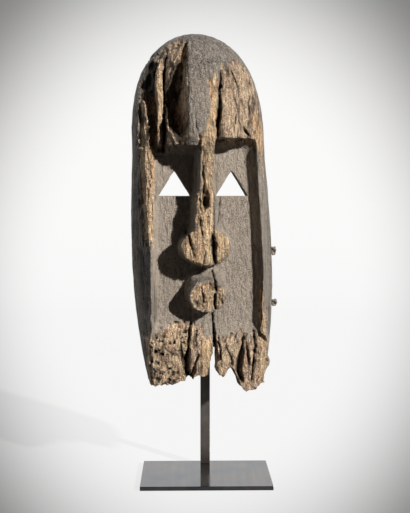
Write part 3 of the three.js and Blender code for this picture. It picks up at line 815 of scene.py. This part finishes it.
# Fine wear: clefts between the fibres where the skin is lost, worm holes in the chin, checks in the skin
places = read_places(carved.data)
normals = read_normals(carved.data)
streaks = cloud(places, (2.6, 2.6, 26), 21)
ragged = 1.2 * cloud(places, (3, 3, 9), 22) + 0.7 * cloud(places, (1.6, 1.6, 3), 23)
reach = np.where(places[:, 2] < CHIN_TOP, 10, 5)
x, z = places[:, 0] + ragged, places[:, 2] + 3 * ragged + reach * streaks
front = facing(normals, FRONT, 0.05, 0.4)
outer = in_front(places, HOLLOW_DEPTH, 4)
raw = np.zeros(len(places))
cleft_depth = np.zeros(len(places))
ochre = np.zeros(len(places))
for name, (deep, warmth, outline) in LOST_SKIN.items():
    lost = inside(x, z, outline, 3.0) * outer
    if name in PROUD_ZONES:
        lost *= in_front(places, PROUD_ZONES[name], 5)
    lost = smooth_step(lost + 0.25 * streaks, 0.35, 0.75) * (lost > 0)
    raw = np.maximum(raw, lost)
    cleft_depth = np.maximum(cleft_depth, deep * lost)
    ochre = np.maximum(ochre, warmth * lost)
under = facing(normals, DOWN, 0.2, 0.6) * (places[:, 2] < 200)
raw = np.maximum(raw, under)

# Depth of the fine wear, from three sizes of cleft, two sizes of worm hole and fine grain
broad = clefts(places, (6.5, 20, 38), 31)
middling = clefts(places, (3.4, 12, 13), 33)
small = clefts(places, (2.4, 5, 4.5), 35)
worn = 0.45 * broad + 0.35 * middling + 0.2 * small
holes = 1.3 * pits(places, 7.0, 0.62, 41) + 0.9 * pits(places, 3.8, 0.6, 47)
holes *= in_zone(x, z, "chin_left", 1.5) * front
checks = clefts(places, (5, 5, 60), 63, 8.0) * smooth_step(cloud(places, (14, 14, 50), 65), -0.2, 0.5)
fine = 1.5 * cleft_depth * worn + 3.2 * holes + 0.35 * raw * (1 + cloud(places, (1.8, 1.8, 3), 51))
fine += (1 - raw) * (0.2 * (1 + cloud(places, (2.2, 2.2, 3.5), 61)) + 0.5 * checks * outer)
fine += 0.5 * (1 - outer) * clefts(places, (8, 8, 24), 67, 1.0)

# Furrows along the grain on the flanks, and the step in the left outline near the top
flanks = smooth_step(np.abs(normals[:, 0]), 0.45, 0.85) * outer * (1 - raw)
furrows = clefts(places, (30, 3.4, 30), 71) * smooth_step(cloud(places, (40, 9, 40), 73), -0.5, 0.4)
fine += FURROW_DEPTH * flanks * furrows
top_step = smooth_step(-x, 54.5, 57) * below(z, 518.5, 2.5) * above(z, 506, 11)
fine += TOP_STEP_DEPTH * top_step

# Dark in the clefts and holes, partly dirt and partly painted shade, but less on open bare wood; the nose and
# mouth keep their outline
crest = groove(x, z, CREST, 4) * outer
dark = np.clip(3.5 * worn - 1.9, 0, 1) * raw * smooth_step(cleft_depth, 0, 1) + holes + 0.5 * checks * outer
dark += 0.6 * flanks * np.clip(2.6 * furrows - 1.3, 0, 1)
open_wood = np.maximum(0.6 * in_zone(x, z, "left_rim", 3), 0.45 * in_zone(x, z, "chin_right", 3))
dark *= (1 - np.maximum(0.75 * crest, open_wood)) * (1 - 0.35 * ochre)
ochre = np.maximum(ochre, 0.75 * crest)
proud = in_front(places, 104, 4) * (np.abs(x) < 36) * (z < 330) * (z > CHIN_TOP)
fine -= 0.65 * cleft_depth * proud * (1 - front)
places -= normals * fine[:, None]
# The splits, their insides darkened with painted shade
for deep, stations in SPLITS:
    split = groove(places[:, 0] + 0.8 * ragged, places[:, 2], stations, 2.5)
    split *= in_front(places, FACE_DEPTH - 6, 6)
    places[:, 1] += deep * split
    dark += split
write_places(carved.data, places)
# Painted shadow in the deep cleft and in the upper hollow, where their walls throw shade
dark += 0.9 * groove(x, z, [(high, mid - 2, half - 2) for high, mid, half in DEEP_CLEFT if half > 3.2], 3)
dark += 0.75 * np.clip(1.5 * groove(x, z, UPPER_HOLLOW, 4), 0, 1) * facing(normals, FRONT, -0.2, 0.1)

# Pale skin in the sunk face; elsewhere pale paint stands for light: a painted highlight on the left rim's
# inner flank, which faces the key, painted light from below under the brow, and painted light on the right
# half
sunk = inside(x, z, SUNK_FACE, 2) * smooth_step(places[:, 1], -126, -118)
pale = sunk * (0.15 + 0.55 * above(z, 320, 80)) * (1 - raw)
painted_flank_highlight = facing(normals, RIGHT, 0.3, 0.8) * (x < -45) * (z < 425) * outer
painted_underside_light = facing(normals, DOWN, 0.4, 0.8) * (z > 395) * (x < -5) * outer
painted_right_light = 0.6 * (1 - sunk) * outer * below(z, 470, 35) * smooth_step(x, -30, -20)
pale = np.maximum(pale, np.maximum(np.maximum(0.7 * painted_flank_highlight, painted_underside_light), painted_right_light))

# The outer left side: ragged dark patches, with pale painted rim light between them, and a dark strip of
# painted shade beside the rim
own_x = upright(places[:, 0], places[:, 2])
leftward = facing(normals, LEFT, 0.2, 0.6)
below_dome = below(z, 455, 25)
turned = smooth_step(-own_x, 76, 80) * leftward * below_dome
bark = cloud(places, (7, 9, 34), 75) + 0.8 * cloud(places, (5, 3.5, 9), 76)
patch = smooth_step(bark, -0.4, 0.5) * above(z, 250, 40)
patch_dark = 0.3 + 0.4 * in_front(places, 55, 25)
dark += patch_dark * patch * smooth_step(-own_x, 73, 77) * leftward * below_dome
painted_shade_strip = smooth_step(own_x, -81, -78) * smooth_step(-own_x, 66, 68) * facing(normals, LEFT, 0.25, 0.6)
dark += 0.55 * painted_shade_strip * below(z, LEFT_RIM_FOOT - 10, 12) * above(z, 200, 50) * (1 - raw)
painted_rim_light = turned * (1 - patch) * (1 - raw) * (0.25 + 0.6 * below(z, LEFT_RIM_FOOT - 10, 15))
pale = np.maximum(pale, painted_rim_light)
# A painted highlight on the mouth's upper flank
mouth_top_highlight = lump(x, z, -14, 257, 12, 7)
pale = np.maximum(pale, 0.7 * mouth_top_highlight * in_front(places, 103, 3) * (1 - raw))
# The painted light under the brow also takes out most of the clefts' dark there
dark *= 1 - 0.7 * painted_underside_light

# Plain brown where the surface looks into the hollow
raised = np.clip(places[:, 2] - ROOF_SPRING, 0, None)
outward = (own_x * normals[:, 0] + raised * normals[:, 2]) / np.hypot(own_x, raised)
hidden = (1 - outer) * (1 - smooth_step(outward, 0.05, 0.35))
painted_values = {
    "raw": raw, "dark": np.clip(dark, 0, 1), "ochre": ochre, "hidden": hidden, "sunk": sunk, "pale": pale}
for name, values in painted_values.items():
    attribute = carved.data.attributes.new(name, "FLOAT", "POINT")
    attribute.data.foreach_set("value", values)

# Fewer triangles: most are taken from the back and the inside, where the surface is plain
group = carved.vertex_groups.new(name="thin_here")
weights = 0.25 + 0.75 * (1 - front * outer)
for level in range(1, WEIGHT_LEVELS + 1):
    chosen = np.nonzero(np.round(weights * WEIGHT_LEVELS) == level)[0]
    if len(chosen):
        group.add(chosen.tolist(), level / WEIGHT_LEVELS, "REPLACE")
triangles = sum(len(face.vertices) - 2 for face in carved.data.polygons)
thinned = carved.modifiers.new("thinned", "DECIMATE")
thinned.ratio = MOST_TRIANGLES / triangles
thinned.vertex_group = group.name
thinned.vertex_group_factor = 1.0
bpy.ops.object.modifier_apply(modifier=thinned.name)
bpy.ops.object.shade_smooth()


# Tones of the skin: stain, brown, grey, silvery speck and dark line, in the open and in the sunk face
OPEN_SKIN = (
    (0.07, 0.058, 0.05), (0.18, 0.155, 0.134), (0.29, 0.25, 0.212), (0.52, 0.46, 0.4), (0.05, 0.04, 0.032))
SHELTERED_SKIN = (
    (0.12, 0.1, 0.082), (0.19, 0.158, 0.13), (0.29, 0.245, 0.2), (0.45, 0.385, 0.32), (0.1, 0.08, 0.065))
# Pale skin, also laid as painted light on the left rim's flank, under the brow, on the right half, on the
# left side and on the mouth's top
PALE_SKIN_AND_PAINTED_LIGHT = (0.4, 0.34, 0.28)

# Tones of the raw fibre, each from the bottom of the grain to its top
DUN = ((0.16, 0.1, 0.082), (0.52, 0.36, 0.28))
TAN = ((0.24, 0.165, 0.112), (0.76, 0.575, 0.4))
RUSSET = ((0.36, 0.185, 0.085), (0.82, 0.5, 0.26))
ORANGE = ((0.46, 0.29, 0.14), (0.98, 0.74, 0.43))
FIBRE_STAIN = (0.23, 0.182, 0.15)
FIBRE_TIP = (0.9, 0.72, 0.52)
HOLLOW_BROWN = (0.1, 0.07, 0.05)
# Painted shade, partly dirt, for clefts, holes and splits
CLEFT_SHADE_AND_DIRT = (0.025, 0.017, 0.011)


def weathered_wood():
    """Grey weathered skin, raw ochre fibre where it is lost, dark clefts partly of painted shade, and pale
    skin partly of painted light, laid by the painted values.
    """
    made, tree, shader, place = new_material("weathered_wood")

    def painted(name, low=0.0, high=1.0):
        value = node(tree, "ShaderNodeAttribute", attribute_name=name).outputs["Fac"]
        return between(tree, value, 0, 1, low, high)

    specks = between(tree, noise(tree, place, 700.0, 2.0, 0.6), 0.38, 0.62)
    mottle = between(tree, noise(tree, place, 230.0, 3.0, 0.65, (1, 1, 0.5)), 0.38, 0.62)
    blotches = between(tree, noise(tree, place, 45.0, 3.0, 0.6, (1, 1, 0.5)), 0.35, 0.65)
    grain = between(tree, noise(tree, place, 560.0, 2.0, 0.6, (1, 0.3, 0.14)), 0.36, 0.64)
    lines = between(tree, noise(tree, place, 330.0, 2.0, 0.6, (1, 0.4, 0.1)), 0.5, 0.68)
    hue = between(tree, noise(tree, place, 95.0, 3.0, 0.6, (1, 0.4, 0.45)), 0.36, 0.64)

    def grey_skin(tones, mottle_from, specks_from, specks_share, lines_share):
        stain, brown, grey, speck, line = tones
        tone = blend(tree, blotches, stain, brown)
        tone = blend(tree, between(tree, mottle, mottle_from, 1, 0.0, 0.8), tone, grey)
        tone = blend(tree, between(tree, specks, specks_from, 1, 0.0, specks_share), tone, speck)
        return blend(tree, between(tree, lines, 0, 1, 0.0, lines_share), tone, line)

    open_skin = grey_skin(OPEN_SKIN, 0.2, 0.3, 0.75, 0.6)
    sheltered = grey_skin(SHELTERED_SKIN, 0.1, 0.1, 0.7, 0.2)
    skin = blend(tree, painted("sunk"), open_skin, sheltered)
    skin = blend(tree, painted("pale", 0, 0.75), skin, PALE_SKIN_AND_PAINTED_LIGHT)

    dun, tan, russet, orange = [blend(tree, grain, *tones) for tones in (DUN, TAN, RUSSET, ORANGE)]
    fibre = blend(tree, painted("ochre"), blend(tree, hue, dun, tan), blend(tree, hue, russet, orange))
    fibre = blend(tree, between(tree, mottle, 0.5, 1, 0, 0.45), fibre, FIBRE_STAIN)
    fibre = blend(tree, between(tree, specks, 0.65, 1, 0, 0.9), fibre, FIBRE_TIP)

    colour = blend(tree, painted("raw"), skin, fibre)
    colour = blend(tree, painted("hidden", 0, 0.7), colour, HOLLOW_BROWN)
    colour = blend(tree, painted("dark", 0, 0.94), colour, CLEFT_SHADE_AND_DIRT)
    tree.links.new(colour, shader.inputs["Base Color"])
    shader.inputs["Roughness"].default_value = 0.6
    relief = bump(tree, specks, painted("sunk", 1.0, 0.7), 0.8 * MM)
    relief = bump(tree, grain, painted("raw", 0.3, 1.0), 1.2 * MM, relief)
    relief = bump(tree, mottle, painted("sunk", 0.9, 0.55), 1.8 * MM, relief)
    tree.links.new(relief, shader.inputs["Normal"])
    return made


carved.data.materials.clear()
carved.data.materials.append(weathered_wood())
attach(carved, "root")
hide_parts("mask")

# Cord knots
# Two small knots of twisted plant fibre, what is left of a lashing at the mask's right edge.
# Each is made as two strands wound round a knotted path, with a straight tail that runs into the wood.

CORD_KNOTS = {
    "edge_knot_upper": ((88.0, -60.0, 284.5), (3.4, 4.8, 6.6)),
    "edge_knot_lower": ((88.9, -60.0, 220.0), (4.0, 4.8, 5.4)),
}
STRAND = 0.75
WOUND_RADIUS = 0.85 * STRAND
CORD_RADIUS = 1.9 * STRAND
TAIL = 17.0
KNOT_TURNS = 9
TAIL_TURNS = 3
ANY_SLANT = (0.31, 0.52, 0.8)


def plant_fibre():
    """Dry grey brown fibre, fine along the strand and stained in places."""
    made, tree, shader, place = new_material("fibre_cord")
    fibres = between(tree, noise(tree, place, 900.0, 3.0, 0.7), 0.35, 0.65)
    stain = between(tree, noise(tree, place, 260.0), 0.35, 0.65)
    tone = blend(tree, fibres, (0.1, 0.08, 0.062), (0.4, 0.34, 0.27))
    tone = blend(tree, between(tree, stain, 0, 1, 0, 0.5), tone, (0.17, 0.15, 0.13))
    tree.links.new(tone, shader.inputs["Base Color"])
    shader.inputs["Roughness"].default_value = 0.85
    tree.links.new(bump(tree, fibres, 0.6, 0.3 * MM), shader.inputs["Normal"])
    return made


cord = plant_fibre()
for name, (centre, half) in CORD_KNOTS.items():
    reach = np.array(half) - CORD_RADIUS
    angle = np.linspace(0, 2 * math.pi, 90, endpoint=False)
    loop = np.column_stack((
        -np.sin(3 * angle) * reach[0],
        (np.sin(angle) + 2 * np.sin(2 * angle)) / 2.76 * reach[1],
        (np.cos(angle) - 2 * np.cos(2 * angle)) / 3.0 * reach[2],
    ))
    tail = np.column_stack((np.linspace(-TAIL, -half[0] + 1, 24), np.zeros(24), np.zeros(24)))
    strands = bpy.data.curves.new(name + "_strands", "CURVE")
    strands.dimensions = "3D"
    strands.bevel_depth = STRAND * MM
    strands.bevel_resolution = 2
    strands.use_fill_caps = True
    for path, turns, closed in ((loop, KNOT_TURNS, True), (tail, TAIL_TURNS, False)):
        along = np.gradient(path, axis=0)
        along /= np.linalg.norm(along, axis=1)[:, None]
        beside = np.cross(along, ANY_SLANT)
        beside /= np.linalg.norm(beside, axis=1)[:, None]
        over = np.cross(along, beside)
        twist = np.linspace(0, 2 * math.pi * turns, len(path), endpoint=not closed)
        for phase in (0, math.pi):
            wound = path + WOUND_RADIUS * (
                np.cos(twist + phase)[:, None] * beside + np.sin(twist + phase)[:, None] * over)
            wound = ((wound + centre) @ turn + MASK_SHIFT) * MM
            spline = strands.splines.new("POLY")
            spline.points.add(len(wound) - 1)
            spline.points.foreach_set("co", np.column_stack((wound, np.ones(len(wound)))).ravel())
            spline.use_cyclic_u = closed
    knot = bpy.data.objects.new("cord_" + name.split("_")[-1], strands)
    scene.collection.objects.link(knot)
    bpy.ops.object.select_all(action="DESELECT")
    knot.select_set(True)
    bpy.context.view_layer.objects.active = knot
    bpy.ops.object.convert(target="MESH")
    bpy.ops.object.shade_smooth()
    knot.data.materials.append(cord)
    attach(knot, "root")
    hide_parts(name)
